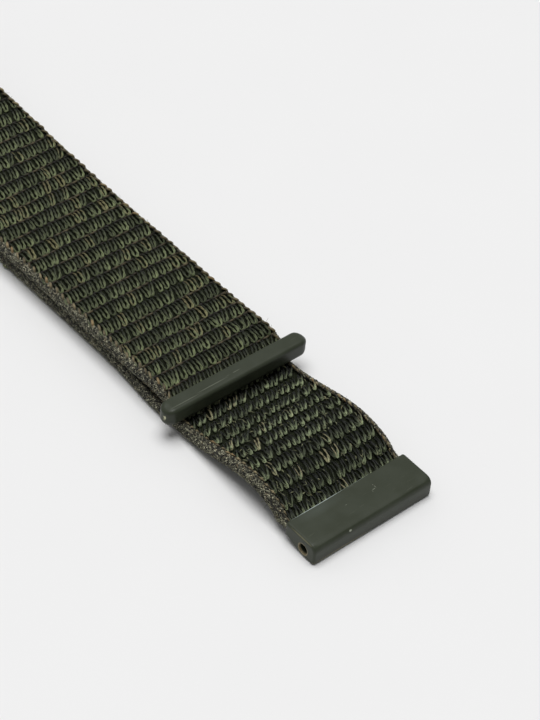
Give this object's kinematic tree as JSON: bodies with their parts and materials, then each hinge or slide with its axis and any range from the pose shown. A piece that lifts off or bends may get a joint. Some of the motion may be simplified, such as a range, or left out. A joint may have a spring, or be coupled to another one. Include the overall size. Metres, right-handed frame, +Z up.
{
  "type": "watch strap",
  "caption": "Nylon hook-and-loop watch strap, folded through a slot connector, with a moulded lug connector and an end stop bar.",
  "frame": {"origin": "on the table under the middle of the folded strap", "axes": "+X along the strap to the near connector, +Y across it, +Z up"},
  "size_m": [0.1452, 0.0272, 0.0082],
  "materials": {
    "moulded_plastic": "satin moulded olive plastic",
    "rib_yarn": "ribbed nylon yarn with a soft sheen",
    "loop_yarn": "looped nylon yarn",
    "ground_weave": "tight dark ground weave",
    "edge_thread": "brown-olive edge thread",
    "hook_tape": "dark hook tape",
    "pressed_webbing": "heat-pressed nylon"
  },
  "bodies": {
    "lower_run": {"front_ground": "ground_weave", "front_rib_face": "rib_yarn", "front_loop_face": "loop_yarn", "front_edge_left": "edge_thread", "front_edge_right": "edge_thread", "lower_ground": "ground_weave", "lower_rib_face": "rib_yarn", "lower_loop_face": "loop_yarn", "lower_edge_left": "edge_thread", "lower_edge_right": "edge_thread", "fold_ground": "ground_weave", "fold_rib_face": "rib_yarn", "fold_loop_face": "loop_yarn", "fold_edge_left": "edge_thread", "fold_edge_right": "edge_thread"},
    "near_end": {"near_connector": "moulded_plastic", "near_tongue": "pressed_webbing"},
    "far_end": {"far_connector": "moulded_plastic"},
    "tail": {"tail_ground": "ground_weave", "tail_rib_face": "rib_yarn", "tail_loop_face": "loop_yarn", "tail_edge_left": "edge_thread", "tail_edge_right": "edge_thread"},
    "tail_tip": {"tip_ground": "ground_weave", "tip_rib_face": "rib_yarn", "tip_edge_left": "edge_thread", "tip_edge_right": "edge_thread", "tip_tongue": "pressed_webbing", "hook_patch": "hook_tape"},
    "stop": {"stop_tongue": "pressed_webbing", "stop_bar": "moulded_plastic"}
  },
  "joints": [
    {"name": "near_connector_flex", "type": "hinge", "parent": "lower_run", "child": "near_end", "pos_m": [0.06583, 0, 0.00225], "axis": [0, -1, 0], "range_deg": [-55, 40]},
    {"name": "far_connector_swing", "type": "hinge", "parent": "lower_run", "child": "far_end", "pos_m": [-0.06277, 0, 0.0041], "axis": [0, 1, 0], "range_deg": [-60, 55]},
    {"name": "tail_open", "type": "hinge", "parent": "lower_run", "child": "tail", "pos_m": [-0.06277, 0, 0.0082], "axis": [0, -1, 0], "range_deg": [0, 150]},
    {"name": "tail_tip_peel", "type": "hinge", "parent": "tail", "child": "tail_tip", "pos_m": [0.00523, 0, 0.0056], "axis": [0, -1, 0], "range_deg": [0, 120]},
    {"name": "stop_bar_flex", "type": "hinge", "parent": "tail_tip", "child": "stop", "pos_m": [0.03963, 0, 0.0045], "axis": [0, -1, 0], "range_deg": [0, 45]}
  ]
}
